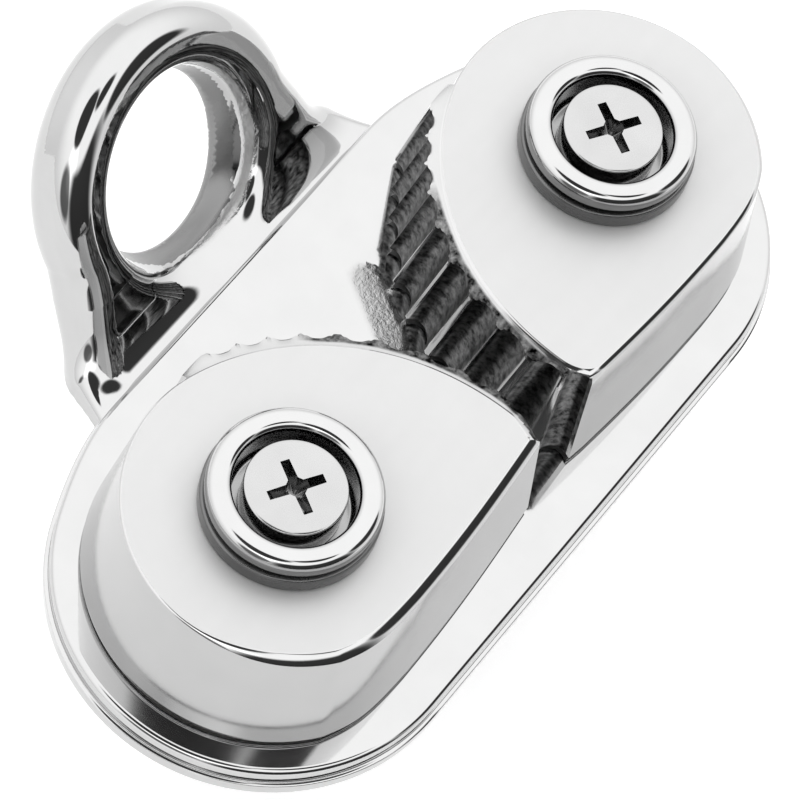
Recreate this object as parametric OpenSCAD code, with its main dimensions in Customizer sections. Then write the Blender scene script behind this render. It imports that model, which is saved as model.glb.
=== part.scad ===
// Cam cleat with leading ring, stainless steel, for boat rope.
// Frame: X joins the two cam pivots, +Y points to the leading ring (load side),
// +Z points up from the deck. The origin is on the deck face, midway between the pivots.

/* [Base] */
// Distance between the two cam pivots, which is also the screw hole spacing
pivot_pitch = 40; // [39:0.5:46]
// Radius of the rounded ends of the base plate
base_end_r = 16.2; // [16:0.1:17]
// How far the base plate sits towards the leading ring
base_offset_y = -0.1; // [-0.3:0.1:0.3]
// How much further the plate reaches on the side of the leading ring
ring_side_out = 1.25; // [1:0.05:1.5]
// Thickness of the base plate
base_t = 3; // [2.8:0.1:3.4]
// Height of the thin lower lip around the base plate
lip_h = 1.4; // [1:0.1:1.8]
// How far the lip stands out beyond the upper edge
lip_out = 0.35; // [0.2:0.05:0.6]

/* [Leading ring] */
// Radius of the rope hole at its narrowest
ring_hole_r = 7.2; // [6.5:0.1:7.6]
// Outer radius of the ring
ring_outer_r = 12.6; // [12.4:0.1:13.2]
// Thickness of the ring through the hole
ring_t = 5.8; // [5.6:0.1:6.4]
// Lean of the ring away from upright, in degrees
ring_lean = 34; // [32:1:36]
// Distance of the ring centre from the pivot line
ring_y = 25.7; // [25.6:0.1:26.2]
// Height of the ring centre above the deck
ring_z = 7.6; // [7.5:0.1:8]
// Half width of the web where it meets the base plate
web_half_w = 17.5; // [16.5:0.5:18.5]

/* [Cams] */
// Height of each cam
cam_h = 11.3; // [11:0.1:12]
// Radius of the plain back of each cam, at its top
cam_back_r = 12.3; // [12:0.1:12.6]
// How much further the toothed tip reaches than the plain back
cam_reach = 7.6; // [7:0.1:7.8]
// How much wider each cam is at its foot than at its top
cam_flare = 1.45; // [1:0.05:1.5]
// Distance from the pivot to the straight outer side, at the top
cam_flank = 11.2; // [11:0.1:11.5]
// Number of rope teeth on each cam
tooth_count = 10; // [8:1:10]
// Radius of the round groove between two teeth
tooth_groove_r = 1.5; // [1.3:0.1:1.6]
// Angle that each cam opens, in degrees
cam_travel = 65; // [50:1:65]

/* [Pivots] */
// Outer radius of the hollow pivot post
post_r = 4.5; // [4.4:0.1:4.6]
// Running clearance between the post and the cam bush
bush_clearance = 0.03; // [0.02:0.01:0.06]
// Outer radius of the cam bush
bush_r = 5.5; // [5.4:0.1:5.6]
// Outer radius of the collar washer above each cam
collar_r = 6.75; // [6.5:0.05:7]
// Outer radius of the rolled flange on the post
flange_r = 6.55; // [6.4:0.05:6.7]
// Height of the flange top above the deck
flange_top = 18; // [17.8:0.1:18.2]

/* [Fasteners and springs] */
// Radius of the mounting screw shank
screw_r = 2; // [1.9:0.1:2.1]
// Radius of the mounting screw head
head_r = 3.83; // [3.7:0.01:3.9]
// Length of screw shank that stands out below the deck face
screw_below = 15.2; // [8:0.1:30]
// Radius of the spring wire
wire_r = 0.55; // [0.45:0.05:0.6]
// Mean radius of the spring coil
coil_r = 7.5; // [7.3:0.1:7.6]
// Number of turns in the spring coil
coil_turns = 3; // [2:1:3]
// Radius of the stop pin
stop_r = 1; // [0.8:0.1:1]

/* [Hidden] */
half_pitch = pivot_pitch / 2;
washer_t = 0.3;
play = 0.05;
cam_z0 = base_t + washer_t + play;
cam_z1 = cam_z0 + cam_h;
collar_z0 = cam_z1 + play;
collar_t = 1.45;
seat_z = collar_z0 + 0.1;
head_h = 3;
recess_r = 4.65;
neck_r = 5.5;
spigot_r = 3.5;
peen_r = 4.4;
peen_h = 0.9;
shank_bore_r = screw_r + 0.2;
shank_step = 0.15;
// spring pocket under each cam, measured from the pivot axis
pocket_r0 = 6.4;
pocket_r1 = 9;
pocket_top = cam_z0 + 5.1;
coil_z0 = base_t + wire_r + 0.05;
coil_pitch = 2 * wire_r + 0.2;
leg_z = coil_z0 + coil_turns * coil_pitch;
leg_angle = 186;
leg_out = 10.4;
// curved slot that the stop pin runs in
stop_ring_r = 11.1;
stop_angle = 100;
stop_top = 6;
slot_r = stop_r + 0.12;
slot_slack = 0.4;
pin_half_a = asin(stop_r / stop_ring_r);
// cam outline, in degrees round the pivot
tip_a = -32.5;
spiral_a = 75;
spiral_p = 2.235;
flank_a = 250;
tooth_pitch_a = 10.4;
tooth_first_a = -27.6;

// radius of the toothed side at angle a, at the top of the cam
function face_r(a) = cam_back_r + cam_reach * pow(max(0, (spiral_a - a) / (spiral_a - tip_a)), spiral_p);
// closed outline of a cam, grown outwards by g
function cam_outline(g) = concat(
    [for (i = [0:1:24]) let(a = tip_a + i * (spiral_a - tip_a) / 24) (face_r(a) + g) * [cos(a), sin(a)]],
    [for (i = [1:1:28]) let(a = spiral_a + i * (flank_a - spiral_a) / 28) (cam_back_r + g) * [cos(a), sin(a)]],
    [[face_r(tip_a) * cos(tip_a) + g * 0.35, face_r(tip_a) * sin(tip_a) - g * 0.9]]);

// places its children at the left pivot, or mirrored at the right one
module at_left() translate([-half_pitch, 0, 0]) children();
module at_right() mirror([1, 0, 0]) translate([-half_pitch, 0, 0]) children();

module base_outline(r) {
    translate([-half_pitch, base_offset_y]) circle(r = r, $fn = 96);
    translate([half_pitch, base_offset_y]) circle(r = r, $fn = 96);
    translate([-half_pitch, base_offset_y - r]) square([pivot_pitch, 2 * r]);
    // fuller on the side of the leading ring
    y = base_offset_y + r + ring_side_out;
    e = base_offset_y + sqrt(r * r - 36);
    polygon([[-half_pitch - 6, e], [-half_pitch - 1, y - 0.75], [-half_pitch + 4, y],
             [half_pitch - 4, y], [half_pitch + 1, y - 0.75], [half_pitch + 6, e], [half_pitch, 0], [-half_pitch, 0]]);
}

module post_holes() {
    translate([0, 0, -1]) cylinder(r = spigot_r, h = base_t + 2, $fn = 64);
    translate([0, 0, -0.001]) cylinder(r1 = peen_r, r2 = spigot_r, h = peen_h, $fn = 64);
    rotate([0, 0, stop_angle]) translate([stop_ring_r, 0, 0.8]) cylinder(r = stop_r, h = base_t, $fn = 32);
    rotate([0, 0, leg_angle]) translate([coil_r, 0, 0.8]) cylinder(r = wire_r + 0.06, h = base_t, $fn = 32);
}

module base_plate() {
    color("silver") difference() {
        union() {
            linear_extrude(lip_h) base_outline(base_end_r);
            translate([0, 0, lip_h]) linear_extrude(base_t - lip_h) base_outline(base_end_r - lip_out);
        }
        at_left() post_holes();
        at_right() post_holes();
    }
}

// half section of the ring, rounded over on every corner
module ring_section() {
    ri = 1.6;
    ro = 2.7;
    h = ring_t / 2;
    translate([ring_hole_r + ri, h - ri]) circle(r = ri, $fn = 48);
    translate([ring_hole_r + ri, -h + ri]) circle(r = ri, $fn = 48);
    translate([ring_outer_r - ro, h - ro]) circle(r = ro, $fn = 48);
    translate([ring_outer_r - ro, -h + ro]) circle(r = ro, $fn = 48);
    translate([ring_hole_r, -h + ri]) square([ri + 1, ring_t - 2 * ri]);
    translate([ring_outer_r - ro - 0.5, -h + ro]) square([ro + 0.5, ring_t - 2 * ro]);
    translate([ring_hole_r + ri, -h]) square([ring_outer_r - ro - ring_hole_r - ri, ring_t]);
}

// flat web in the plane of the ring, from its widest line down to the base plate
module ring_web() {
    drop = 14;
    t = 4.4;
    translate([0, 0, -t / 2]) linear_extrude(t)
        polygon([[-ring_outer_r * 0.97, 2], [-web_half_w, -9], [-web_half_w, -drop], [web_half_w, -drop], [web_half_w, -9], [ring_outer_r * 0.97, 2]]);
}

module lead_ring() {
    color("lightgray") difference() {
        union() {
            translate([0, ring_y, ring_z]) rotate([90 - ring_lean, 0, 0]) {
                rotate_extrude($fn = 96) ring_section();
                difference() {
                    ring_web();
                    translate([0, 0, -10]) cylinder(r = ring_hole_r + 1.6, h = 20, $fn = 96);
                }
            }
            // foot that carries the ring into the edge of the plate
            translate([-web_half_w, base_offset_y + base_end_r - 2, 0]) cube([2 * web_half_w, ring_side_out + 4.3, base_t - 0.7]);
        }
        // nothing reaches below the deck face
        translate([-40, 0, -30]) cube([80, 60, 30]);
        // the base plate keeps its own space
        translate([0, 0, -1]) linear_extrude(base_t + 31) base_outline(base_end_r);
    }
}

// curved slot of half width r round the pivot, from angle a over sweep degrees
module arc_slot(rm, r, z0, z1, a, sweep) {
    translate([0, 0, z0]) rotate([0, 0, a]) rotate_extrude(angle = sweep, $fn = 96) translate([rm - r, 0]) square([2 * r, z1 - z0]);
}

// one round groove between two teeth, lying along the flare of the cam
module tooth_groove(a) {
    r0 = face_r(a) + cam_flare + 0.5;
    r1 = face_r(a) + 0.45;
    lean = atan((r0 - r1) / cam_h);
    stop = 2 + 2.4 * max(0, (a + 10) / 85);
    rotate([0, 0, a]) translate([r0 + tan(lean), 0, cam_z0 - 1]) rotate([0, -lean, 0])
        cylinder(r = tooth_groove_r, h = (cam_h + 1 - stop) / cos(lean), $fn = 32);
}

module cam() {
    difference() {
        hull() {
            translate([0, 0, cam_z0]) linear_extrude(0.02) polygon(cam_outline(cam_flare));
            translate([0, 0, cam_z1 - 0.02]) linear_extrude(0.02) polygon(cam_outline(0));
        }
        for (i = [0:1:tooth_count - 1]) tooth_groove(tooth_first_a + i * tooth_pitch_a);
        translate([0, 0, cam_z0 - 1]) cylinder(r = bush_r, h = cam_h + 2, $fn = 64);
        translate([0, 0, cam_z0 - 1]) difference() {
            cylinder(r = pocket_r1, h = pocket_top - cam_z0 + 1, $fn = 64);
            translate([0, 0, -1]) cylinder(r = pocket_r0, h = pocket_top - cam_z0 + 3, $fn = 64);
        }
        arc_slot(stop_ring_r, slot_r, cam_z0 - 1, stop_top + 0.2, stop_angle - pin_half_a - slot_slack, cam_travel + 2 * (pin_half_a + slot_slack));
        translate([0, 0, leg_z - wire_r - 0.25]) rotate([0, 0, leg_angle - 6]) rotate_extrude(angle = cam_travel + 12, $fn = 96)
            translate([pocket_r1 - 0.5, 0]) square([leg_out + 0.6 - pocket_r1, pocket_top - leg_z + wire_r + 0.25]);
    }
}

module left_cam() { color("gainsboro") at_left() cam(); }
module right_cam() { color("gainsboro") at_right() cam(); }

module cam_bush() {
    difference() {
        translate([0, 0, cam_z0]) cylinder(r = bush_r, h = cam_h, $fn = 64);
        translate([0, 0, cam_z0 - 1]) cylinder(r = post_r + bush_clearance, h = cam_h + 2, $fn = 64);
    }
}

module left_cam_bush() { color("darkgoldenrod") at_left() cam_bush(); }
module right_cam_bush() { color("darkgoldenrod") at_right() cam_bush(); }

// hollow post: peened foot, bearing length, neck, and a rolled flange round the screw recess
module pivot_post() {
    rim = (flange_top - collar_z0 - collar_t - 0.15) / 2;
    difference() {
        union() {
            cylinder(r = spigot_r, h = base_t + 0.5, $fn = 64);
            cylinder(r1 = peen_r, r2 = spigot_r, h = peen_h, $fn = 64);
            translate([0, 0, base_t]) cylinder(r = post_r, h = collar_z0 - base_t + 0.5, $fn = 64);
            translate([0, 0, collar_z0]) cylinder(r = neck_r, h = flange_top - rim - collar_z0, $fn = 64);
            rotate_extrude($fn = 96) {
                translate([flange_r - rim, flange_top - rim]) circle(r = rim, $fn = 48);
                translate([recess_r - 0.05, flange_top - 2 * rim]) square([flange_r - rim - recess_r + 0.05, 2 * rim]);
            }
        }
        translate([0, 0, -1]) cylinder(r = shank_bore_r, h = 30, $fn = 48);
        translate([0, 0, seat_z]) cylinder(r = recess_r, h = 10, $fn = 64);
    }
}

module left_pivot_post() { color("silver") at_left() pivot_post(); }
module right_pivot_post() { color("silver") at_right() pivot_post(); }

module ring_washer(ri, ro, z, t) {
    difference() {
        translate([0, 0, z]) cylinder(r = ro, h = t, $fn = 96);
        translate([0, 0, z - 1]) cylinder(r = ri, h = t + 2, $fn = 64);
    }
}

module left_collar_washer() { color("dimgray") at_left() ring_washer(neck_r, collar_r, collar_z0, collar_t); }
module right_collar_washer() { color("dimgray") at_right() ring_washer(neck_r, collar_r, collar_z0, collar_t); }

module left_thrust_washer() { color("ivory") at_left() ring_washer(post_r, 6.2, base_t, washer_t); }
module right_thrust_washer() { color("ivory") at_right() ring_washer(post_r, 6.2, base_t, washer_t); }

// points of the spring's centre line: foot in the base, coil, and a leg out to the cam
function spring_path() = concat(
    [[coil_r, 0, 1], [coil_r, 0, coil_z0 - 0.9]],
    [for (i = [0:1:coil_turns * 20]) let(s = i / (coil_turns * 20), a = 360 * coil_turns * s)
        [coil_r * cos(a), coil_r * sin(a), coil_z0 + s * coil_turns * coil_pitch]],
    [[coil_r + 0.9, 0.5, leg_z], [leg_out, 0.5, leg_z]]);

// frame directions at point i of a path
function unit(v) = v / norm(v);
function along(p, i) = unit(p[min(i + 1, len(p) - 1)] - p[max(i - 1, 0)]);
function side(p, i) = let(t = along(p, i), r = [p[i][0], p[i][1], 0.001], b = unit(r - (r * t) * t)) b;

// round wire swept along a path of points
module wire(p, r, n) {
    rings = [for (i = [0:1:len(p) - 1]) let(t = along(p, i), b = abs(along(p, i)[2]) > 0.7 || i > len(p) - 4 ? unit(cross(t, [0, 1, 0.02])) : side(p, i), c = cross(t, b))
        for (k = [0:1:n - 1]) p[i] + r * (cos(360 * k / n) * b + sin(360 * k / n) * c)];
    m = len(p);
    polyhedron(points = rings,
        faces = concat(
            [[for (k = [0:1:n - 1]) k]],
            [for (i = [0:1:m - 2]) for (k = [0:1:n - 1])
                [i * n + k, (i + 1) * n + k, (i + 1) * n + (k + 1) % n, i * n + (k + 1) % n]],
            [[for (k = [n - 1:-1:0]) (m - 1) * n + k]]));
}

module torsion_spring() { rotate([0, 0, leg_angle]) wire(spring_path(), wire_r, 8); }

module left_torsion_spring() { color("slategray") at_left() torsion_spring(); }
module right_torsion_spring() { color("slategray") at_right() torsion_spring(); }

module stop_pin() {
    rotate([0, 0, stop_angle]) translate([stop_ring_r, 0, 0.8]) cylinder(r = stop_r, h = stop_top - 0.8, $fn = 32);
}

module left_stop_pin() { color("gray") at_left() stop_pin(); }
module right_stop_pin() { color("gray") at_right() stop_pin(); }

// cross_a turns the cross recess of the head
module mounting_screw(cross_a) {
    difference() {
        union() {
            // threaded length below the deck face, and the thinner plain shank above it
            translate([0, 0, -screw_below]) cylinder(r = screw_r, h = screw_below, $fn = 48);
            translate([0, 0, -0.5]) cylinder(r = screw_r - shank_step, h = seat_z + 1, $fn = 48);
            translate([0, 0, seat_z]) cylinder(r = head_r, h = head_h, $fn = 64);
        }
        // cross recess
        for (a = [cross_a, cross_a + 90]) rotate([0, 0, a]) translate([-2.3, -0.42, seat_z + head_h - 1.5]) cube([4.6, 0.84, 3]);
    }
}

module left_mounting_screw() { color("whitesmoke") at_left() mounting_screw(-30); }
module right_mounting_screw() { color("whitesmoke") at_right() mounting_screw(30); }

base_plate();
lead_ring();
left_cam();
right_cam();
left_cam_bush();
right_cam_bush();
left_pivot_post();
right_pivot_post();
left_collar_washer();
right_collar_washer();
left_thrust_washer();
right_thrust_washer();
left_torsion_spring();
right_torsion_spring();
left_stop_pin();
right_stop_pin();
left_mounting_screw();
right_mounting_screw();
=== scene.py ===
import math

import bpy
import bmesh
import numpy as np
from mathutils import Matrix, Vector


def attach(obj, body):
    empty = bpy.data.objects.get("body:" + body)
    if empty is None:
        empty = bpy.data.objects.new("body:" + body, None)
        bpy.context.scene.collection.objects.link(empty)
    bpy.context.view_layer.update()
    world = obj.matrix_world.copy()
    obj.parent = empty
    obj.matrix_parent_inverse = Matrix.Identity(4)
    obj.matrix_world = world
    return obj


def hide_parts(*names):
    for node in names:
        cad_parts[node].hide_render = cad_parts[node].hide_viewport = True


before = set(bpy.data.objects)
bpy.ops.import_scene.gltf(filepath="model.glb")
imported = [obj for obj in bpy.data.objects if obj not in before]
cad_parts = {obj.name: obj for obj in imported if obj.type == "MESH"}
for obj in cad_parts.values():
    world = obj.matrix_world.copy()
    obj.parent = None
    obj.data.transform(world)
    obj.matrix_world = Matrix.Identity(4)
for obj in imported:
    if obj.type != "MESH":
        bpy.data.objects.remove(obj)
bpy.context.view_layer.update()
scene = bpy.context.scene
MM = 0.001

# ------------------------------------------------------------------ camera
cam_data = bpy.data.cameras.new("camera")
cam = bpy.data.objects.new("camera", cam_data)
scene.collection.objects.link(cam)
X = Vector((0.5841757482023928, -0.7907512319460033, 0.18289664947191597))
Y = Vector((0.6647002205213635, 0.5954289502331298, 0.45126265307814256))
Z = Vector((-0.4657384588489827, -0.14204525476111968, 0.8734476707558521))
P = Vector((-0.17860440713068712, -0.05307281606139986, 0.33515221330598416))
cam.matrix_world = Matrix((
    (X.x, Y.x, Z.x, P.x), (X.y, Y.y, Z.y, P.y), (X.z, Y.z, Z.z, P.z), (0, 0, 0, 1)))
cam_data.sensor_width = 36.0
cam_data.sensor_fit = "HORIZONTAL"
cam_data.lens = 226.59689626855274
cam_data.clip_start = 0.01
cam_data.clip_end = 10.0
scene.camera = cam

# ------------------------------------------------------------------ sizes, mm
HALF = 20.0            # half the distance between the pivots
BASE_T, BASE_R, BASE_Y, SIDE_OUT = 3.0, 16.2, -0.1, 1.25
CAM_Z0, CAM_Z1 = 3.35, 14.65
SPIGOT_R, POST_R, NECK_R, FLANGE_R = 3.5, 4.5, 5.5, 6.55
BUSH_R, COLLAR_R = 5.5, 6.75
SIDES = {"left": (-HALF, 1.0), "right": (HALF, -1.0)}
rng = np.random.default_rng(7)


# ------------------------------------------------------------------ mesh helpers
def make(name, verts, faces, sharp=32.0, normals=None):
    me = bpy.data.meshes.new(name)
    v = np.asarray(verts, float) * MM
    me.from_pydata(v.tolist(), [], [list(map(int, f)) for f in faces])
    me.validate()
    me.update()
    me.shade_smooth()
    if normals is None:
        me.set_sharp_from_angle(angle=math.radians(sharp))
    else:
        me.normals_split_custom_set_from_vertices([tuple(n) for n in normals])
    ob = bpy.data.objects.new(name, me)
    scene.collection.objects.link(ob)
    return ob


def weighted(ob):
    m = ob.modifiers.new("normals", "WEIGHTED_NORMAL")
    m.keep_sharp = True
    m.weight = 60


def apply_all(ob, sharp=32.0):
    dg = bpy.context.evaluated_depsgraph_get()
    me = bpy.data.meshes.new_from_object(ob.evaluated_get(dg), depsgraph=dg)
    ob.modifiers.clear()
    ob.data = me
    me.shade_smooth()
    me.set_sharp_from_angle(angle=math.radians(sharp))


def cut(ob, cutters, sharp=32.0):
    """Takes the closed cutter meshes out of ob and removes them."""
    for c in cutters:
        m = ob.modifiers.new("cut", "BOOLEAN")
        m.operation = "DIFFERENCE"
        m.solver = "EXACT"
        m.object = c
    bpy.context.view_layer.update()
    apply_all(ob, sharp)
    for c in cutters:
        bpy.data.objects.remove(c)


def fillet(points, radii, step=12.0):
    """Closed 2D outline with each corner rounded to its radius."""
    out = []
    n = len(points)
    for i in range(n):
        p, a, b = (np.array(points[i], float), np.array(points[i - 1], float),
                   np.array(points[(i + 1) % n], float))
        r = radii[i]
        u, w = a - p, b - p
        lu, lw = np.linalg.norm(u), np.linalg.norm(w)
        if r <= 0 or lu < 1e-9 or lw < 1e-9:
            out.append(tuple(p))
            continue
        u, w = u / lu, w / lw
        ang = math.acos(max(-1, min(1, float(u @ w))))
        if ang > math.pi - 0.02:
            out.append(tuple(p))
            continue
        t = min(r / math.tan(ang / 2), 0.49 * lu, 0.49 * lw)
        rr = t * math.tan(ang / 2)
        mid = (u + w) / np.linalg.norm(u + w)
        c = p + mid * (rr / math.sin(ang / 2))
        s, e = p + u * t - c, p + w * t - c
        a0 = math.atan2(s[1], s[0])
        d = math.atan2(s[0] * e[1] - s[1] * e[0], float(s @ e))
        k = max(2, int(abs(math.degrees(d)) / step) + 1)
        for j in range(k + 1):
            q = a0 + d * j / k
            out.append((c[0] + rr * math.cos(q), c[1] + rr * math.sin(q)))
    return out


def lathe(name, prof, centre, n=128, sharp=32.0):
    """Closed outline (r, z) turned round the vertical axis at x = centre."""
    prof = [tuple(p) for p in prof]
    m = len(prof)
    area = sum(prof[i - 1][0] * prof[i][1] - prof[i][0] * prof[i - 1][1] for i in range(m))
    if area < 0:
        prof = prof[::-1]
    a = np.arange(n) * 2 * math.pi / n
    verts, faces = [], []
    for r, z in prof:
        for q in a:
            verts.append((centre + r * math.cos(q), r * math.sin(q), z))
    for i in range(m):
        j = (i + 1) % m
        for k in range(n):
            l = (k + 1) % n
            faces.append((i * n + k, i * n + l, j * n + l, j * n + k))
    ob = make(name, verts, faces, sharp)
    bm = bmesh.new()
    bm.from_mesh(ob.data)
    bmesh.ops.remove_doubles(bm, verts=bm.verts, dist=1e-7)
    bmesh.ops.recalc_face_normals(bm, faces=bm.faces)
    bm.to_mesh(ob.data)
    bm.free()
    ob.data.shade_smooth()
    ob.data.set_sharp_from_angle(angle=math.radians(sharp))
    return ob


def arc_block(name, centre, side, r0, r1, z0, z1, a0, a1, n=40):
    """Closed curved block between two radii, used as a cutter."""
    verts, faces = [], []
    for i in range(n + 1):
        q = math.radians(a0 + (a1 - a0) * i / n)
        for r, z in ((r0, z0), (r1, z0), (r1, z1), (r0, z1)):
            verts.append((centre + side * r * math.cos(q), r * math.sin(q), z))
    for i in range(n):
        for k in range(4):
            l = (k + 1) % 4
            faces.append((i * 4 + k, i * 4 + l, i * 4 + 4 + l, i * 4 + 4 + k))
    faces.append((3, 2, 1, 0))
    faces.append((n * 4, n * 4 + 1, n * 4 + 2, n * 4 + 3))
    ob = make(name, verts, faces)
    fix_normals(ob)
    return ob


def fix_normals(ob):
    bm = bmesh.new()
    bm.from_mesh(ob.data)
    bmesh.ops.recalc_face_normals(bm, faces=bm.faces)
    bm.to_mesh(ob.data)
    bm.free()


def join_into(a, b):
    bm = bmesh.new()
    bm.from_mesh(a.data)
    bm.from_mesh(b.data)
    bm.to_mesh(a.data)
    bm.free()
    bpy.data.objects.remove(b)


# ------------------------------------------------------------------ smooth solids from a distance function
def surface_net(f, lo, hi, h):
    """Quads on the surface f = 0, with each vertex moved onto it, and its normals."""
    ax = [np.arange(lo[i], hi[i] + h, h) for i in range(3)]
    G = np.meshgrid(*ax, indexing="ij")
    F = f(G[0], G[1], G[2])
    S = F < 0
    nx, ny, nz = F.shape
    c = lambda dx, dy, dz, A: A[dx:nx - 1 + dx, dy:ny - 1 + dy, dz:nz - 1 + dz]
    corners = [(dx, dy, dz) for dx in (0, 1) for dy in (0, 1) for dz in (0, 1)]
    total = sum(c(*k, S).astype(int) for k in corners)
    active = (total > 0) & (total < 8)
    idx = -np.ones(active.shape, int)
    ids = np.argwhere(active)
    idx[active] = np.arange(len(ids))
    acc = np.zeros((len(ids), 3))
    cnt = np.zeros(len(ids))
    for k in corners:
        for d in range(3):
            if k[d] == 1:
                continue
            k2 = list(k)
            k2[d] = 1
            f0 = c(*k, F)[active]
            f1 = c(*k2, F)[active]
            cross = (f0 < 0) != (f1 < 0)
            t = np.where(cross, f0 / np.where(cross, f0 - f1, 1), 0)
            pos = np.tile(np.array(k, float), (len(ids), 1))
            pos[:, d] += t
            acc += np.where(cross[:, None], pos, 0)
            cnt += cross
    v = (ids + acc / cnt[:, None]) * h + np.array([a[0] for a in ax])
    quads = []
    for d in range(3):
        e, g = [(1, 2), (2, 0), (0, 1)][d]
        sl0 = [slice(None)] * 3
        sl1 = [slice(None)] * 3
        sl0[d], sl1[d] = slice(0, -1), slice(1, None)
        a, b = S[tuple(sl0)], S[tuple(sl1)]
        for flip, mask in ((False, a & ~b), (True, ~a & b)):
            q = np.argwhere(mask)
            q = q[(q[:, e] > 0) & (q[:, g] > 0) & (q[:, e] < F.shape[e] - 1) & (q[:, g] < F.shape[g] - 1)]
            o = np.zeros((4, 3), int)
            o[0, e], o[0, g] = -1, -1
            o[1, g] = -1
            o[3, e] = -1
            cells = [idx[tuple((q + o[j]).T)] for j in range(4)]
            quad = np.stack(cells, 1)
            quads.append(quad[:, ::-1] if flip else quad)
    quads = np.concatenate(quads)
    quads = quads[(quads >= 0).all(1)]

    def grad(p):
        e = 1e-3
        out = np.zeros_like(p)
        for d in range(3):
            q0, q1 = p.copy(), p.copy()
            q0[:, d] -= e
            q1[:, d] += e
            out[:, d] = (f(*q1.T) - f(*q0.T)) / (2 * e)
        return out

    for _ in range(4):
        g = grad(v)
        s = f(*v.T) / np.maximum((g * g).sum(1), 0.05)
        v = v - np.clip(s, -h, h)[:, None] * g
    g = grad(v)
    return v, quads, g / np.maximum(np.linalg.norm(g, axis=1), 1e-9)[:, None]


def rmax(a, b, r):
    """Both shapes' common part, its edge rounded to radius r."""
    return np.minimum(np.maximum(a, b), -r) + np.hypot(np.maximum(a + r, 0), np.maximum(b + r, 0))


def smin(a, b, k):
    """Both shapes joined, with a soft hollow of size k between them."""
    h = np.clip(0.5 + 0.5 * (b - a) / k, 0, 1)
    return b * (1 - h) + a * h - k * h * (1 - h)


# ------------------------------------------------------------------ materials
def nodes_of(mat):
    mat.use_nodes = True
    nt = mat.node_tree
    nt.nodes.clear()
    out = nt.nodes.new("ShaderNodeOutputMaterial")
    sh = nt.nodes.new("ShaderNodeBsdfPrincipled")
    nt.links.new(sh.outputs[0], out.inputs[0])
    return nt, sh


def noise(nt, vec, scale, detail=3.0, rough=0.5):
    n = nt.nodes.new("ShaderNodeTexNoise")
    n.inputs["Scale"].default_value = scale
    n.inputs["Detail"].default_value = detail
    n.inputs["Roughness"].default_value = rough
    nt.links.new(vec, n.inputs["Vector"])
    return n.outputs["Fac"]


def remap(nt, val, a, b, c, d, kind="LINEAR"):
    m = nt.nodes.new("ShaderNodeMapRange")
    m.interpolation_type = kind
    for i, x in zip((1, 2, 3, 4), (a, b, c, d)):
        m.inputs[i].default_value = x
    nt.links.new(val, m.inputs[0])
    return m.outputs[0]


def calc(nt, op, a, b):
    m = nt.nodes.new("ShaderNodeMath")
    m.operation = op
    for i, x in enumerate((a, b)):
        if isinstance(x, (int, float)):
            m.inputs[i].default_value = x
        else:
            nt.links.new(x, m.inputs[i])
    return m.outputs[0]


def steel(name, grey=0.68, rough=(0.04, 0.10), lines=(1, 1, 1), line_bump=0.05, wave_bump=0.04,
          cast_and_shade=None, cast_rough=0.42, cast_bump=0.6, cast_and_shade_grey=0.35, dust=0.04, metal=1.0):
    """Stainless steel. Fine polishing lines, a slow waviness and a little colour variation; a named point attribute
    says where the surface stays as cast, and on the cam teeth it also paints shade into the grooves and a dark
    reflection below the top edge."""
    mat = bpy.data.materials.new(name)
    nt, sh = nodes_of(mat)
    tc = nt.nodes.new("ShaderNodeTexCoord")
    obj = tc.outputs["Object"]
    mp = nt.nodes.new("ShaderNodeMapping")
    mp.inputs["Scale"].default_value = lines
    nt.links.new(obj, mp.inputs["Vector"])
    fine = noise(nt, mp.outputs[0], 900, 4, 0.6)
    slow = noise(nt, obj, 90, 2, 0.5)
    patch = noise(nt, obj, 260, 3, 0.55)
    grain = noise(nt, obj, 2600, 3, 0.7)
    r = remap(nt, calc(nt, "ADD", calc(nt, "MULTIPLY", fine, 0.5), calc(nt, "MULTIPLY", patch, 0.5)), 0.35, 0.65, rough[0], rough[1])
    tone = remap(nt, patch, 0.3, 0.7, grey * (1 - dust), grey)
    bump_h = calc(nt, "ADD", calc(nt, "MULTIPLY", fine, line_bump), calc(nt, "MULTIPLY", slow, wave_bump * 6))
    if cast_and_shade:
        at = nt.nodes.new("ShaderNodeAttribute")
        at.attribute_name = cast_and_shade
        m0 = at.outputs["Fac"]
        m1 = remap(nt, calc(nt, "ADD", m0, calc(nt, "MULTIPLY", calc(nt, "SUBTRACT", patch, 0.5), 0.5)), 0.25, 0.75, 0.0, 1.0, "SMOOTHSTEP")
        pits = noise(nt, obj, 1500, 4, 0.65)
        r = calc(nt, "ADD", calc(nt, "MULTIPLY", r, calc(nt, "SUBTRACT", 1.0, m1)), calc(nt, "MULTIPLY", m1, cast_rough))
        # darker where the attribute is set: the as-cast colour, and on the cam teeth painted shade and a painted dark
        # reflection
        tone = calc(nt, "SUBTRACT", tone, calc(nt, "MULTIPLY", m1, calc(nt, "MULTIPLY", pits, cast_and_shade_grey)))
        bump_h = calc(nt, "ADD", bump_h, calc(nt, "MULTIPLY", calc(nt, "MULTIPLY", m1, calc(nt, "ADD", pits, calc(nt, "MULTIPLY", grain, 0.5))), cast_bump * 3))
    col = nt.nodes.new("ShaderNodeCombineColor")
    for i in range(3):
        nt.links.new(tone, col.inputs[i])
    nt.links.new(col.outputs[0], sh.inputs["Base Color"])
    sh.inputs["Metallic"].default_value = metal
    nt.links.new(r, sh.inputs["Roughness"])
    bp = nt.nodes.new("ShaderNodeBump")
    bp.inputs["Strength"].default_value = 1.0
    bp.inputs["Distance"].default_value = 0.00004
    nt.links.new(bump_h, bp.inputs["Height"])
    nt.links.new(bp.outputs[0], sh.inputs["Normal"])
    return mat


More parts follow.
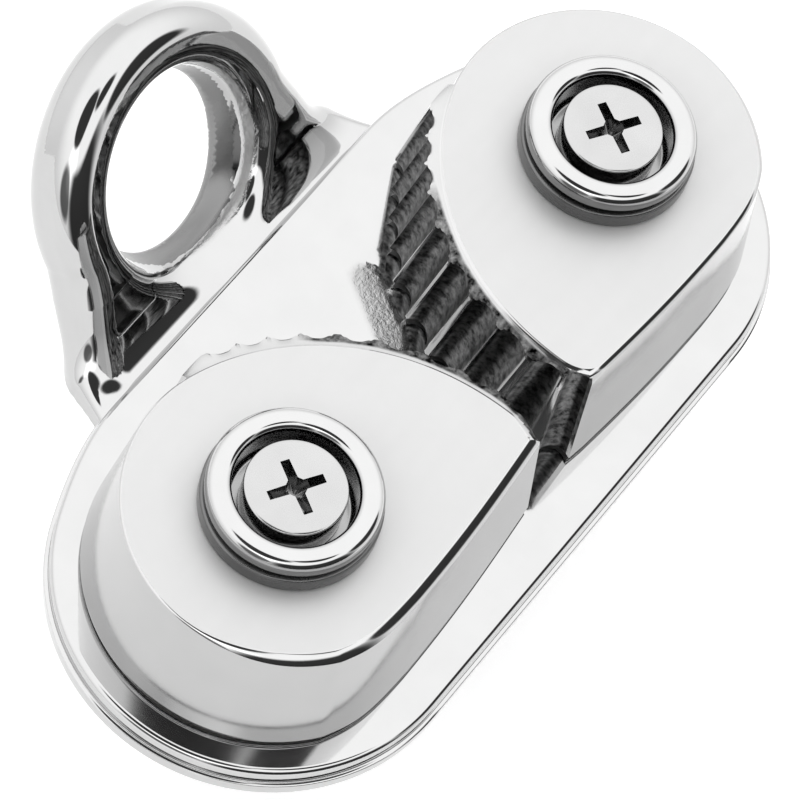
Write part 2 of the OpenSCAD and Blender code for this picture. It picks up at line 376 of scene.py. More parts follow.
def plastic(name, colour, rough):
    mat = bpy.data.materials.new(name)
    nt, sh = nodes_of(mat)
    tc = nt.nodes.new("ShaderNodeTexCoord")
    a = noise(nt, tc.outputs["Object"], 500, 3, 0.5)
    mix = nt.nodes.new("ShaderNodeMix")
    mix.data_type = "RGBA"
    mix.inputs[6].default_value = (*[c * 0.88 for c in colour], 1)
    mix.inputs[7].default_value = (*colour, 1)
    nt.links.new(a, mix.inputs[0])
    nt.links.new(mix.outputs[2], sh.inputs["Base Color"])
    nt.links.new(remap(nt, a, 0.3, 0.7, rough - 0.06, rough + 0.06), sh.inputs["Roughness"])
    bp = nt.nodes.new("ShaderNodeBump")
    bp.inputs["Strength"].default_value = 0.5
    bp.inputs["Distance"].default_value = 0.00002
    nt.links.new(noise(nt, tc.outputs["Object"], 3000, 2, 0.5), bp.inputs["Height"])
    nt.links.new(bp.outputs[0], sh.inputs["Normal"])
    return mat


M_BASE = steel("base_steel", 0.49, (0.03, 0.07), (1, 0.1, 1), 0.03, 0.03, cast_and_shade="cast_and_shade", cast_rough=0.30, cast_bump=0.8, cast_and_shade_grey=0.14)
M_RING = steel("ring_steel", 0.48, (0.03, 0.07), (1, 1, 0.2), 0.02, 0.03, cast_and_shade="cast_and_shade", cast_rough=0.30, cast_bump=0.6, cast_and_shade_grey=0.12)
# painted shade: a much darker steel for the wall of the rope hole, which is also rougher
M_HOLE_SHADE = steel("ring_hole_painted_shade_steel", 0.21, (0.20, 0.28), (1, 1, 0.2), 0.04, 0.03, cast_and_shade="cast_and_shade", cast_rough=0.34, cast_bump=1.2, cast_and_shade_grey=0.2)
M_CAM = steel("cam_top_steel", 0.57, (0.38, 0.46), (0.12, 1, 1), 0.02, 0.01, metal=0.5)
M_EDGE = steel("cam_edge_steel", 0.50, (0.05, 0.09), (1, 1, 1), 0.03, 0.02)
# cam teeth: a strong darkening through the attribute paints shade into the grooves and a dark reflection below the top
# edge, over the as-cast texture
M_TOOTH = steel("cam_tooth_steel", 0.48, (0.14, 0.22), (1, 1, 0.12), 0.05, 0.02, cast_and_shade="cast_and_shade", cast_rough=0.34, cast_bump=0.08, cast_and_shade_grey=0.74)
M_WALL = steel("cam_wall_steel", 0.42, (0.12, 0.16), (1, 1, 0.15), 0.03, 0.01)
M_POST = steel("post_steel", 0.50, (0.04, 0.09), (1, 1, 0.3), 0.04, 0.01)
# painted shade: a darker steel for the sides of the post's flange, which is polished like the rest of the post
M_FLANGE_SIDE_SHADE = steel("flange_side_painted_shade_steel", 0.27, (0.12, 0.20), (1, 1, 0.3), 0.04, 0.01)
# painted shade: the collar between the cam top and the flange is given a near-black steel
M_COLLAR_SHADE = steel("collar_painted_shade_steel", 0.15, (0.24, 0.34), (0.3, 0.3, 3), 0.08, 0.01)
# painted shade: a darker steel for the bore round the screw head and for the cross recess
M_RECESS_SHADE = steel("recess_painted_shade_steel", 0.34, (0.12, 0.22), (0.3, 0.3, 2), 0.10, 0.02, dust=0.3)
M_HEAD = steel("screw_steel", 0.44, (0.10, 0.18), (0.2, 1, 1), 0.06, 0.01, dust=0.08)
M_WIRE = steel("spring_steel", 0.5, (0.18, 0.28), (0.3, 0.3, 0.3), 0.10, 0.01)
M_PIN = steel("pin_steel", 0.6, (0.15, 0.25), (0.3, 0.3, 3), 0.08, 0.01)
M_BUSH = plastic("bush_acetal", (0.045, 0.045, 0.05), 0.42)
M_WASHER = plastic("washer_nylon", (0.78, 0.78, 0.74), 0.45)


def done(ob, body, mat, slot, *nodes):
    if mat is not None:
        ob.data.materials.clear()
        ob.data.materials.append(mat)
    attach(ob, body)
    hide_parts(*nodes)
    return ob


def point_attr(ob, name, values):
    at = ob.data.attributes.new(name, "FLOAT", "POINT")
    at.data.foreach_set("value", np.asarray(values, np.float32))


def coords(ob):
    v = np.zeros(len(ob.data.vertices) * 3)
    ob.data.vertices.foreach_get("co", v)
    return v.reshape(-1, 3) / MM


# ------------------------------------------------------------------ base plate
def stadium(r, n=72, straight=24):
    """Plate outline: two round ends, and a fuller edge on the side of the leading ring."""
    a1 = math.acos(6.0 / r)
    y0, y1 = BASE_Y + r * math.sin(a1), BASE_Y + r + SIDE_OUT
    m0 = 10 * 6.0 / (r * math.sin(a1))
    pts = []
    for i in range(n + 1):
        q = -math.pi / 2 + (a1 + math.pi / 2) * i / n
        pts.append((HALF + r * math.cos(q), BASE_Y + r * math.sin(q)))
    rise = []
    for i in range(1, 13):
        t = i / 12
        rise.append((26 - 10 * t, (2 * t ** 3 - 3 * t ** 2 + 1) * y0 + (t ** 3 - 2 * t ** 2 + t) * m0 + (3 * t ** 2 - 2 * t ** 3) * y1))
    pts += rise
    for i in range(1, straight):
        pts.append((16 - 32 * i / straight, y1))
    pts += [(-x, y) for x, y in rise[::-1]]
    for i in range(n + 1):
        q = math.pi - a1 + (a1 + math.pi / 2) * i / n
        pts.append((-HALF + r * math.cos(q), BASE_Y + r * math.sin(q)))
    for i in range(1, straight):
        pts.append((-HALF + 2 * HALF * i / straight, BASE_Y - r))
    return pts


def base_plate():
    # outline of the edge, from the top face down to the deck face: (inset, height)
    edge = []
    for i in range(13):      # full rounded shoulder of the upper part
        q = math.radians(90 * i / 12)
        edge.append((0.30 + 0.55 - 0.55 * math.sin(q), BASE_T - 0.50 * (1 - math.cos(q))))
    edge += [(0.30, 1.75), (0.34, 1.62), (0.33, 1.48), (0.29, 1.42)]       # fine step above the lip
    edge += [(0.05, 1.39), (0.0, 1.34), (0.0, 0.35), (0.06, 0.16), (0.16, 0.05), (0.32, 0.0)]
    rings = [stadium(BASE_R - o) for o, z in edge]
    n = len(rings[0])
    verts, faces = [], []
    for (o, z), ring in zip(edge, rings):
        verts += [(x, y, z) for x, y in ring]
    for i in range(len(edge) - 1):
        for k in range(n):
            l = (k + 1) % n
            faces.append((i * n + k, (i + 1) * n + k, (i + 1) * n + l, i * n + l))
    faces.append(list(range(n)))
    faces.append(list(range((len(edge) - 1) * n, len(edge) * n))[::-1])
    ob = make("base_plate_cast", verts, faces, 40)
    fix_normals(ob)
    cutters = []
    for cx in (-HALF, HALF):
        cutters.append(lathe("c", [(0.0001, -1), (4.4 + 0.9, -1), (4.4, 0), (3.5, 0.9), (3.5, 4), (0.0001, 4)], cx, 96))
    cut(ob, cutters, 40)
    bm = bmesh.new()
    bm.from_mesh(ob.data)
    # finer faces on the top between the cams, so that the unpolished patch has a soft edge
    bmesh.ops.triangulate(bm, faces=[f for f in bm.faces if len(f.verts) > 4])
    for _ in range(6):
        long = [e for e in bm.edges if e.calc_length() > (0.0011 if abs(e.verts[0].co.x) < 0.008 and abs(e.verts[0].co.y - 0.006) < 0.009 else 0.0035) and all(abs(v.co.z - BASE_T * MM) < 1e-6 for v in e.verts)]
        if not long:
            break
        bmesh.ops.subdivide_edges(bm, edges=long, cuts=1, use_grid_fill=False)
        bmesh.ops.triangulate(bm, faces=[f for f in bm.faces if len(f.verts) > 4])
    bm.to_mesh(ob.data)
    bm.free()
    ob.data.shade_smooth()
    ob.data.set_sharp_from_angle(angle=math.radians(40))
    v = coords(ob)
    # left as cast where a polishing wheel can't reach between the cams
    a, b = np.array([2.1, 4.4]), np.array([5.2, 9.3])
    t = np.clip(((np.abs(v[:, 0]) - a[0]) * (b - a)[0] + (v[:, 1] - a[1]) * (b - a)[1]) / ((b - a) @ (b - a)), 0, 1)
    away = np.hypot(np.abs(v[:, 0]) - a[0] - t * (b - a)[0], v[:, 1] - a[1] - t * (b - a)[1])
    m = np.clip((1.9 - away) / 1.5, 0, 1)
    m *= (v[:, 2] > BASE_T - 0.2)
    m = np.maximum(m, 0.8 * (v[:, 2] < 0.02))
    point_attr(ob, "cast_and_shade", m)
    weighted(ob)
    return done(ob, "base", M_BASE, "polished_steel", "base_plate")


# ------------------------------------------------------------------ leading ring
RC = np.array([0.0, 25.7, 7.6])
LEAN = math.radians(56)
RU = np.array([0.0, math.cos(LEAN), math.sin(LEAN)])
RN = np.array([0.0, -math.sin(LEAN), math.cos(LEAN)])


def ring_field(x, y, z):
    dy, dz = y - RC[1], z - RC[2]
    ly = dy * RU[1] + dz * RU[2]
    lz = dy * RN[1] + dz * RN[2]
    ax = np.abs(x)
    rho = np.hypot(x, ly)
    down = np.maximum(-ly, 0)
    w = 12.75 + 0.33 * down ** 2 / (down + 1.2)
    slope = 0.33 * (down ** 2 + 2.4 * down) / (down + 1.2) ** 2
    s_out = np.where(ly > 0, 12.75 - rho, (w - ax) / np.sqrt(1 + slope ** 2))
    low = np.clip((-ly - 3.0) / 6.0, 0, 1)
    half = 2.85 - 0.55 * low
    f = rmax(-s_out, np.abs(lz) - half, 2.25)
    hole = 7.2 + 0.337 * np.maximum(lz + 1.39, 0)
    f = rmax(f, (hole - rho) * 0.947, 1.15)
    # foot that carries the ring into the plate edge
    foot = rmax(rmax(np.abs(y - 18.2) - 2.8, z - 1.7, 0.7), (ax - 16.0 - 0.5 * np.clip(20.3 - y, 0, 4)) * 0.894, 0.9)
    foot = np.maximum(foot, (7.6 - rho) * 0.9)
    f = smin(f, foot, 3.0)
    f = rmax(f, -z, 0.25)
    return rmax(f, 16.4 - y, 0.05)


def lead_ring():
    v, q, nrm = surface_net(ring_field, (-21.5, 15.6, -0.6), (21.5, 36.0, 20.5), 0.27)
    ob = make("lead_ring_cast", v, q, normals=nrm)
    d = v - RC
    ly, lz = d @ RU, d @ RN
    rho = np.hypot(v[:, 0], ly)
    # a rough line left inside the hole, behind the polished front lip
    m = np.exp(-((lz - 1.3) / 0.6) ** 2) * np.clip((9.2 - rho) / 0.5, 0, 1) * np.clip(0.75 + v[:, 0] / 14, 0, 1)
    m = np.maximum(m, 0.12 * np.clip((8.9 - rho) / 0.5, 0, 1) * (lz < 1.0))
    m = np.maximum(m, 0.9 * (v[:, 2] < 0.05))
    point_attr(ob, "cast_and_shade", m)
    # the wall of the rope hole is rougher than the polished outside and much darker: painted shade inside the hole
    ob.data.materials.append(M_RING)
    ob.data.materials.append(M_HOLE_SHADE)
    inner = (rho < 7.75) & (lz < 1.1) & (lz > -2.3) & (ly > -8.2)
    for p in ob.data.polygons:
        if inner[list(p.vertices)].all():
            p.material_index = 1
    return done(ob, "base", None, "polished_steel", "lead_ring")


# ------------------------------------------------------------------ cams
TIP_A, SPIRAL_A, FLANK_A = -32.5, 75.0, 250.0
GROOVES = [-30.5, -22.5, -13.0, -4.0, 7.0, 18.0, 29.0, 39.0, 49.0, 59.0]


def face_r(a):
    return 12.3 + 7.6 * (np.maximum(0, (SPIRAL_A - a) / (SPIRAL_A - TIP_A))) ** 2.235


def cam_outline(tip_r):
    """Top outline, its growth at the foot, an angle for the teeth (or nan) and a side label."""
    tip = face_r(np.array([TIP_A]))[0] * np.array([math.cos(math.radians(TIP_A)), math.sin(math.radians(TIP_A))])
    gt = np.array([0.5, -0.81]) * 1.45
    pts, grow, ang, kind = [], [], [], []
    cutlen = tip_r * 0.839
    # toothed side
    a = TIP_A
    aa = np.arange(TIP_A, SPIRAL_A, 0.42)
    for a in aa:
        r = face_r(np.array([a]))[0]
        q = math.radians(a)
        p = r * np.array([math.cos(q), math.sin(q)])
        if np.linalg.norm(p - tip) < cutlen:
            continue
        g = 1.45 - 0.3 * np.clip((75 - a) / 12, 0, 1)
        rad = g * np.array([math.cos(q), math.sin(q)])
        t = np.clip((a - TIP_A) / 14, 0, 1)
        t = t * t * (3 - 2 * t)
        pts.append(p)
        grow.append(gt * (1 - t) + rad * t)
        ang.append(a)
        kind.append(0)
    for a in np.arange(SPIRAL_A, FLANK_A, 1.6):
        q = math.radians(a)
        pts.append(12.3 * np.array([math.cos(q), math.sin(q)]))
        grow.append(1.45 * np.array([math.cos(q), math.sin(q)]))
        ang.append(a)
        kind.append(1)
    q = math.radians(FLANK_A)
    a0 = 12.3 * np.array([math.cos(q), math.sin(q)])
    g0 = 1.45 * np.array([math.cos(q), math.sin(q)])
    length = np.linalg.norm(tip - a0)
    m = 34
    for i in range(m + 1):
        u = i / m * (1 - cutlen / length)
        # slight crown on the straight side
        bulge = np.array([0.0, -1.0]) * 0.35 * math.sin(math.pi * min(1, u))
        pts.append(a0 * (1 - u) + tip * u + bulge)
        grow.append(g0 * (1 - u) + gt * u)
        ang.append(a0_ang(a0, tip, u))
        kind.append(2)
    # rounded tip
    s, e = pts[-1], pts[0]
    gs, ge = grow[-1], grow[0]
    k = 12
    for i in range(1, k):
        t = i / k
        pts.append((1 - t) ** 2 * s + 2 * t * (1 - t) * tip + t * t * e)
        grow.append(gs * (1 - t) + ge * t)
        ang.append(TIP_A + max(0.0, 2 * t - 1) * (ang[0] - TIP_A))
        kind.append(2 if t < 0.5 else 0)
    pts, grow, ang, kind = np.array(pts), np.array(grow), np.array(ang), np.array(kind)
    # the same tip without its rounding, for the levels below the top
    low = pts.copy()
    for i in range(1, k):
        t = i / k
        low[i - k] = s * (1 - 2 * t) + tip * 2 * t if t < 0.5 else tip * (2 - 2 * t) + e * (2 * t - 1)
    # soft corner where the straight side leaves the round back
    c = int(np.argmax(kind == 2))
    for _ in range(60):
        for A in (pts, grow, low):
            A[c - 9:c + 8] = 0.25 * A[c - 10:c + 7] + 0.5 * A[c - 9:c + 8] + 0.25 * A[c - 8:c + 9]
    return pts, grow, ang, kind, low


def a0_ang(a, b, u):
    p = a * (1 - u) + b * u
    return math.degrees(math.atan2(p[1], p[0])) % 360


def cam_body(side_name):
    cx, side = SIDES[side_name]
    left = side_name == "left"
    pts, grow, ang, kind, low = cam_outline(0.5 if left else 2.3)
    n = len(pts)
    tang = np.roll(pts, -1, 0) - np.roll(pts, 1, 0)
    nor = np.stack([tang[:, 1], -tang[:, 0]], 1)
    nor /= np.linalg.norm(nor, axis=1)[:, None]
    for _ in range(3):
        nor = (np.roll(nor, 1, 0) + 2 * nor + np.roll(nor, -1, 0))
        nor /= np.linalg.norm(nor, axis=1)[:, None]
    # top edge bevel: narrow on the toothed side, wide along the outer side of the left cam
    wide = 0.74 if left else 0.34
    full = np.degrees(np.arctan2(pts[:, 1], pts[:, 0])) % 360
    t = np.clip((full - 175) / 45, 0, 1) * np.clip((336 - full) / 8, 0, 1)
    bev = 0.16 + (wide - 0.16) * t * t * (3 - 2 * t)
    H = CAM_Z1 - CAM_Z0
    rows = []
    lay = [(-1.0, 0.0), (-0.86, 0.03), (-0.5, 0.26), (-0.14, 0.55), (0.0, 0.74)]
    zside = np.concatenate([np.linspace(0.9, H - 0.35, 60)])
    for o, dz in lay:
        rows.append((o, dz, None))
    for t in (1 / 6, 2 / 6, 3 / 6, 4 / 6, 5 / 6):
        rows.append((0.0, None, -t))         # between the bevel and 0.9 mm down
    for s in zside:
        rows.append((0.0, None, s))
    rows += [(-0.03, None, H - 0.2), (-0.12, None, H - 0.08), (-0.26, None, H)]
    verts, mask = [], []
    for o, dz, s in rows:
        drop = bev * dz if s is None else np.full(n, s) if s > 0 else bev * 0.74 - s * (0.9 - bev * 0.74)
        inset = o * bev if s is None else np.full(n, o)
        z = CAM_Z1 - drop
        f = drop / H
        # the toothed side steps out just below the top and then runs straight down
        shelf = 1.15 * np.clip((drop - 0.1) / 0.35, 0, 1) + 1.15 * drop / H
        tw = np.where(kind == 0, np.clip((80 - ang) / 14, 0, 1) * np.clip((ang + 31) / 10, 0, 1), 0)
        b = np.clip(drop / 0.9, 0, 1)[:, None]
        base = pts * (1 - b) + low * b
        # the columns lean with the teeth, so that each ridge runs along one of them
        lean = np.where(kind == 0, 0.45 * (12.8 - z) * np.clip((ang + 30) / 8, 0, 1) * np.clip((75 - ang) / 10, 0, 1), 0)
        a2 = ang + lean
        moved = face_r(a2)[:, None] * np.column_stack([np.cos(np.radians(a2)), np.sin(np.radians(a2))])
        base = np.where(((kind == 0) & (ang > ang[0]))[:, None], moved, base)
        out = np.column_stack([np.cos(np.radians(a2)), np.sin(np.radians(a2))])
        p = base + grow * (f * (1 - tw))[:, None] + out * (shelf * tw)[:, None]
        r = np.linalg.norm(p, axis=1)
        depth = np.full(n, -0.45)
        if s is not None:
            for i, c in enumerate(GROOVES):
                stop = 0.34
                R = 1.46 if c > -20 else 1.3
                tt = np.radians(ang - c) * r
                tt = np.where(kind != 2, tt, 99.0)
                zz = 2.2 * np.maximum(0, z - (CAM_Z1 - stop - R * 0.43))
                qd = (np.abs(tt) ** 2.6 + zz ** 2.6) ** (1 / 2.6)
                d = np.where(qd < R, np.sqrt(np.maximum(R * R - qd * qd, 0)), 0) - 0.42
                depth = np.maximum(depth, d)
        soft = 0.5 * (depth + np.sqrt(depth ** 2 + 0.11 ** 2))
        soft = np.where(depth <= -0.44, 0, soft)
        radial = p / r[:, None]
        q = p + nor * inset[:, None] - radial * soft[:, None]
        verts.append(np.column_stack([cx + side * q[:, 0], q[:, 1], z]))
        # painted dark reflection: a band just below the top edge near the tip is darkened as though it mirrored dark
        # surroundings
        painted_dark_band = 0.85 * np.clip((42 - ang) / 16, 0, 1) * ((drop > 0.16) & (drop < 1.0)) * (kind == 0)
        # the mask darkens the grooves by their depth, painted shade over the as-cast texture, and adds the painted dark
        # band
        mask.append(np.maximum(np.clip(soft / 0.35, 0, 1), painted_dark_band))
    V = np.concatenate(verts)
    mask = np.concatenate(mask)
    faces = []
    R_ = len(rows)
    for i in range(R_ - 1):
        for k in range(n):
            l = (k + 1) % n
            faces.append((i * n + k, (i + 1) * n + k, (i + 1) * n + l, i * n + l))
    faces.append(list(range(n)))
    faces.append(list(range((R_ - 1) * n, R_ * n))[::-1])
    ob = make(side_name + "_cam_cast", V, faces, 34)
    # this attribute carries the as-cast grooves together with painted shade and the painted dark reflection
    point_attr(ob, "cast_and_shade", mask)
    point_attr(ob, "tooth", np.tile((kind == 0) & (ang < 80), R_).astype(float))
    fix_normals(ob)
    bore = lathe("bore", [(0.0001, 2), (5.5, 2), (5.5, 16), (0.0001, 16)], cx, 128)
    pocket = lathe("pocket", fillet([(6.4, 2), (9, 2), (9, 8.45), (6.4, 8.45)], [0, 0, 0.4, 0.4]), cx, 128)
    half = math.degrees(math.asin(1 / 11.1)) + 0.4
    slot = arc_block("slot", cx, side, 11.1 - 1.12, 11.1 + 1.12, 2, 6.2, 100 - half, 165 + half)
    leg = arc_block("leg", cx, side, 8.6, 11.0, 6.3, 8.45, 180, 260)
    cut(ob, [bore, pocket, slot, leg], 34)
    # materials: brushed top, mirror edges, satin side walls, toothed side as cast, with painted shade in its grooves
    # and a painted dark reflection on the band below the top edge
    for m in (M_CAM, M_WALL, M_TOOTH, M_EDGE):
        ob.data.materials.append(m)
    me = ob.data
    tooth = np.zeros(len(me.vertices), np.float32)
    me.attributes["tooth"].data.foreach_get("value", tooth)
    co = coords(ob)
    rr = np.hypot(co[:, 0] - cx, co[:, 1])
    for p in me.polygons:
        vi = list(p.vertices)
        zc = co[vi, 2].mean()
        outer = rr[vi].min() > 10.4 and zc > CAM_Z0 + 0.01
        if zc > CAM_Z1 - 0.004:
            p.material_index = 0
        elif outer and tooth[vi].mean() > 0.5:
            p.material_index = 3 if zc > CAM_Z1 - 0.16 else 2
        elif outer and abs(p.normal.z) < 0.45:
            p.material_index = 1
        elif outer:
            p.material_index = 3
    weighted(ob)
    body = side_name + "_cam"
    return done(ob, body, None, "polished_steel", body)


# ------------------------------------------------------------------ turned parts
def turned_parts(side_name):
    cx, side = SIDES[side_name]
    s = side_name
    post = lathe(s + "_pivot_post_turned", fillet([
        (2.2, 0.0), (4.4, 0.0), (3.5, 0.9), (3.5, 3.0), (4.5, 3.0), (4.5, 14.72), (5.5, 14.72),
        (5.5, 16.32), (6.55, 16.32), (6.55, 18.0), (4.65, 18.0), (4.65, 14.8), (2.2, 14.8)],
        [0.15, 0.15, 0, 0.1, 0.2, 0.1, 0.15, 0.2, 0.80, 0.86, 0.62, 0.3, 0.1], 7.5), cx, 160)
    post.data.materials.append(M_POST)
    post.data.materials.append(M_RECESS_SHADE)
    post.data.materials.append(M_FLANGE_SIDE_SHADE)
    for p in post.data.polygons:
        c = p.center
        r = math.hypot(c.x - cx * MM, c.y)
        # the bore round the screw head gets the darker recess steel: painted shade
        if 14.5 * MM < c.z < 17.35 * MM and r < 4.75 * MM:
            p.material_index = 1
        # the flange's sideways-facing outer faces get the darker steel: painted shade
        elif r > 6.2 * MM and p.normal.z < 0.6:
            p.material_index = 2
    weighted(post)
    done(post, "base", None, "polished_steel", s + "_pivot_post")
    # collar washer in the near-black steel: painted shade
    collar = lathe(s + "_collar_washer_turned", fillet(
        [(5.52, 14.70), (6.75, 14.70), (6.75, 16.15), (5.52, 16.15)], [0.1, 0.12, 0.22, 0.1], 15), cx, 160)
    weighted(collar)
    done(collar, "base", M_COLLAR_SHADE, "polished_steel", s + "_collar_washer")
    bush = lathe(s + "_cam_bush_turned", fillet(
        [(4.53, 3.35), (5.5, 3.35), (5.5, 14.65), (4.53, 14.65)], [0.2] * 4, 30), cx, 128)
    weighted(bush)
    done(bush, s + "_cam", M_BUSH, "bush_plastic", s + "_cam_bush")
    wash = lathe(s + "_thrust_washer_turned", fillet(
        [(4.5, 3.0), (6.2, 3.0), (6.2, 3.3), (4.5, 3.3)], [0.08] * 4, 45), cx, 128)
    weighted(wash)
    done(wash, "base", M_WASHER, "washer_plastic", s + "_thrust_washer")
    q = math.radians(100)
    px, py = cx + side * 11.1 * math.cos(q), 11.1 * math.sin(q)
    pin = lathe(s + "_stop_pin_turned", fillet([(0.0001, 0.8), (1.0, 0.8), (1.0, 6.0), (0.0001, 6.0)], [0, 0.15, 0.25, 0], 20), 0, 48)
    for v in pin.data.vertices:
        v.co.x += px * MM
        v.co.y += py * MM
    weighted(pin)
    done(pin, "base", M_PIN, "turned_steel", s + "_stop_pin")


def spring(side_name):
    cx, side = SIDES[side_name]
    coil_r, wire, z0 = 7.5, 0.55, 3.6
    pitch, turns, leg_z = 1.3, 3, 3.6 + 3 * 1.3
    path = [(coil_r, 0, 1.0), (coil_r, 0, 1.9), (coil_r, 0, 2.75)]
    n = turns * 72
    for i in range(n + 1):
        q = 2 * math.pi * turns * i / n
        rise = z0 + turns * pitch * i / n
        path.append((coil_r * math.cos(q), coil_r * math.sin(q), rise))
    path += [(coil_r + 0.45, 0.32, leg_z), (coil_r + 0.9, 0.5, leg_z), (9.6, 0.5, leg_z), (10.4, 0.5, leg_z)]
    path = np.array(path)
    rot = math.radians(186)
    c, s_ = math.cos(rot), math.sin(rot)
    p = np.column_stack([path[:, 0] * c - path[:, 1] * s_, path[:, 0] * s_ + path[:, 1] * c, path[:, 2]])
    p[:, 0] = cx + side * p[:, 0]
    T = np.gradient(p, axis=0)
    T /= np.linalg.norm(T, axis=1)[:, None]
    k = 16
    b = np.array([0.0, 1.0, 0.0])
    verts, faces = [], []
    for i in range(len(p)):
        b = b - (b @ T[i]) * T[i]
        b /= np.linalg.norm(b)
        c2 = np.cross(T[i], b)
        for j in range(k):
            q = 2 * math.pi * j / k
            verts.append(p[i] + wire * (math.cos(q) * b + math.sin(q) * c2))
    for i in range(len(p) - 1):
        for j in range(k):
            l = (j + 1) % k
            faces.append((i * k + j, i * k + l, (i + 1) * k + l, (i + 1) * k + j))
    faces.append(list(range(k))[::-1])
    faces.append([(len(p) - 1) * k + j for j in range(k)])
    ob = make(side_name + "_torsion_spring_wire", verts, faces, 40)
    fix_normals(ob)
    done(ob, "base", M_WIRE, "spring_wire", side_name + "_torsion_spring")


def screw(side_name):
    cx, side = SIDES[side_name]
    ob = lathe(side_name + "_mounting_screw_turned", fillet(
        [(0.0001, -0.3), (1.84, -0.3), (1.84, 14.8), (3.83, 14.8), (3.83, 17.74), (3.55, 17.8), (0.0001, 17.8)],
        [0, 0.1, 0.1, 0.15, 0.16, 0.3, 0], 20), cx, 128)
    # cross recess: four tapered arms round a pointed centre
    def cross(z, arm, wid, corner):
        out = []
        for k in range(4):
            a = math.radians((-30 if side > 0 else 30) + 90 * k)
            c, s_ = math.cos(a), math.sin(a)
            for u, w in ((corner, -wid), (arm, -wid * 0.92), (arm, wid * 0.92), (corner, wid)):
                out.append((cx + side * (u * c - w * s_), u * s_ + w * c, z))
        return out
    layers = [cross(17.95, 2.26, 0.40, 0.70), cross(17.8, 2.22, 0.39, 0.68), cross(16.9, 1.85, 0.34, 0.54),
              cross(16.35, 1.45, 0.30, 0.42), cross(16.1, 0.5, 0.16, 0.2)]
    verts = [v for l in layers for v in l]
    faces = []
    n = 16
    for i in range(len(layers) - 1):
        for k in range(n):
            l = (k + 1) % n
            faces.append((i * n + k, i * n + l, (i + 1) * n + l, (i + 1) * n + k))
    faces.append(list(range(n))[::-1])
    faces.append([(len(layers) - 1) * n + k for k in range(n)])
    cutter = make("cross", verts, faces)
    fix_normals(cutter)
    cut(ob, [cutter], 28)
    # thread below the deck face
    pitch, zb, zt = 0.7, -15.2, -0.05
    m, rows = 48, 22 * 14
    V, F = [], []
    V.append((cx, 0, zb))
    for i in range(rows + 1):
        z = zb + (zt - zb) * i / rows
        for j in range(m):
            a = 2 * math.pi * j / m
            u = ((z / pitch - side * a / (2 * math.pi)) % 1.0)
            tri = abs(u - 0.5) * 2
            r = 1.60 + 0.40 * min(1.0, max(0.0, (tri - 0.12) / 0.76))
            r = min(r, 1.25 + (z - zb) * 0.9 + 0.25)
            if z > -0.6:
                r = r + (1.85 - r) * min(1, (z + 0.6) / 0.45)
            V.append((cx + r * math.cos(a), r * math.sin(a), z))
    V.append((cx, 0, zt))
    for i in range(rows):
        for j in range(m):
            l = (j + 1) % m
            b0 = 1 + i * m
            F.append((b0 + j, b0 + l, b0 + m + l, b0 + m + j))
    for j in range(m):
        l = (j + 1) % m
        F.append((0, 1 + l, 1 + j))
        F.append((len(V) - 1, 1 + rows * m + j, 1 + rows * m + l))
    th = make("thread", V, F, 60)
    fix_normals(th)
    join_into(ob, th)
    ob.data.shade_smooth()
    ob.data.set_sharp_from_angle(angle=math.radians(32))
    ob.data.materials.append(M_HEAD)
    ob.data.materials.append(M_RECESS_SHADE)
    # the cross recess gets the darker recess steel: painted shade
    for p in ob.data.polygons:
        c = p.center
        if 15.9 * MM < c.z < 17.78 * MM and math.hypot(c.x - cx * MM, c.y) < 2.45 * MM:
            p.material_index = 1
    weighted(ob)
    done(ob, "base", None, "turned_steel", side_name + "_mounting_screw")


base_plate()
lead_ring()
for s in ("left", "right"):
    cam_body(s)
    turned_parts(s)
    spring(s)
    screw(s)

# ------------------------------------------------------------------ floor
me = bpy.data.meshes.new("floor")
fz = -15.25 * MM
size = 3.0
me.from_pydata([(-size, -size, fz), (size, -size, fz), (size, size, fz), (-size, size, fz)], [], [(0, 1, 2, 3)])
floor = bpy.data.objects.new("floor", me)
scene.collection.objects.link(floor)
mat = bpy.data.materials.new("floor_white")
nt, sh = nodes_of(mat)
tc = nt.nodes.new("ShaderNodeTexCoord")
fcol = remap(nt, noise(nt, tc.outputs["Object"], 40, 2), 0.3, 0.7, 0.86, 0.88)
col = nt.nodes.new("ShaderNodeCombineColor")
for i in range(3):
    nt.links.new(fcol, col.inputs[i])
nt.links.new(col.outputs[0], sh.inputs["Base Color"])
sh.inputs["Roughness"].default_value = 0.9
sh.inputs["Specular IOR Level"].default_value = 0.1
sh.inputs["Emission Color"].default_value = (1, 1, 1, 1)
sh.inputs["Emission Strength"].default_value = 0.38
me.materials.append(mat)

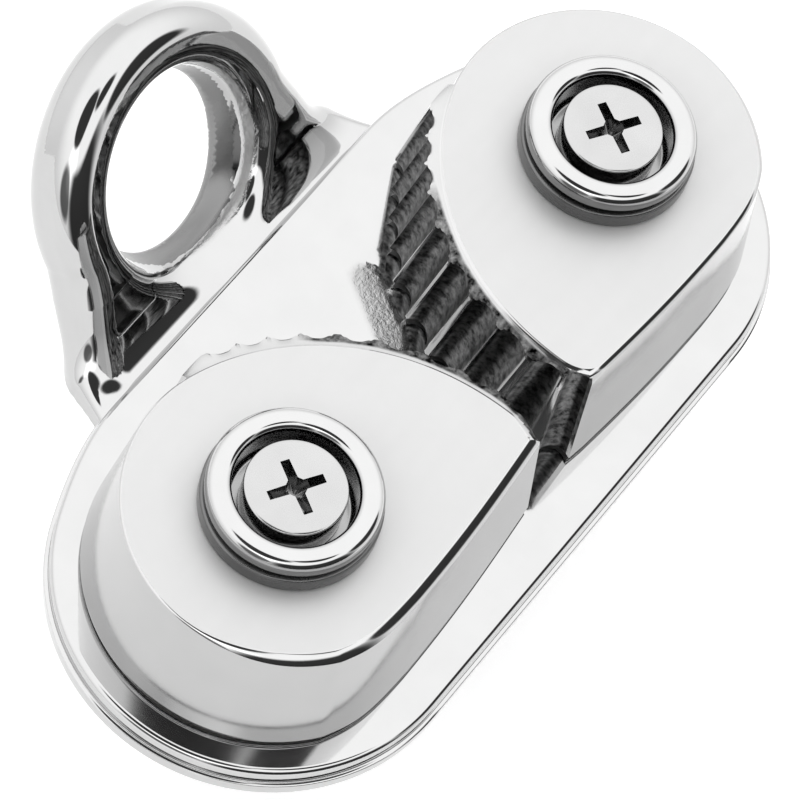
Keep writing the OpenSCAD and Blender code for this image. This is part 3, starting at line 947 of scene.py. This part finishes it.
# ------------------------------------------------------------------ light: a white studio room with a dark front
world = bpy.data.worlds.new("studio")
scene.world = world
world.use_nodes = True
nt = world.node_tree
nt.nodes.clear()
out = nt.nodes.new("ShaderNodeOutputWorld")
bg = nt.nodes.new("ShaderNodeBackground")
nt.links.new(bg.outputs[0], out.inputs[0])
tc = nt.nodes.new("ShaderNodeTexCoord")
direction = tc.outputs["Generated"]


def dot(v):
    n = nt.nodes.new("ShaderNodeVectorMath")
    n.operation = "DOT_PRODUCT"
    nt.links.new(direction, n.inputs[0])
    n.inputs[1].default_value = v
    return n.outputs["Value"]


def cone(v, inner, outer):
    """1 inside the cone round direction v, 0 outside it, angles in degrees."""
    v = Vector(v).normalized()
    return remap(nt, dot(v), math.cos(math.radians(outer)), math.cos(math.radians(inner)), 0, 1, "SMOOTHSTEP")


up = dot((0, 0, 1))
level = remap(nt, up, -0.05, 0.75, 1.25, 1.84, "SMOOTHSTEP")
dark_cam = cone((-0.34, 0.0, 0.94), 16, 20)
flank = calc(nt, "MAXIMUM", cone((0.47, -0.72, 0.5), 15, 21), cone((0.06, -0.31, 0.948), 8, 12))
front_low = calc(nt, "MULTIPLY", cone((-0.45, -0.85, 0.28), 30, 48), remap(nt, up, 0.62, 0.72, 1, 0, "SMOOTHSTEP"))
front_left = calc(nt, "MULTIPLY", cone((-0.93, -0.05, 0.38), 13, 21), 0.9)
shade = calc(nt, "MAXIMUM", calc(nt, "MAXIMUM", dark_cam, flank), calc(nt, "MAXIMUM", front_low, front_left))
keep = calc(nt, "SUBTRACT", 1.0, calc(nt, "MULTIPLY", shade, 0.965))
level = calc(nt, "ADD", level, calc(nt, "MULTIPLY", cone((-0.72, -0.2, 0.66), 10, 20), 0.9))
val = calc(nt, "MULTIPLY", level, keep)
cc = nt.nodes.new("ShaderNodeCombineColor")
for i in range(3):
    nt.links.new(val, cc.inputs[i])
nt.links.new(cc.outputs[0], bg.inputs["Color"])
bg.inputs["Strength"].default_value = 1.0
world.cycles.sampling_method = "MANUAL"
world.cycles.sample_map_resolution = 512

scene.view_settings.view_transform = "Standard"
scene.view_settings.look = "None"
scene.view_settings.exposure = 0.0
scene.view_settings.gamma = 1.0
scene.cycles.max_bounces = 16
scene.cycles.glossy_bounces = 14
scene.cycles.sample_clamp_indirect = 6.0
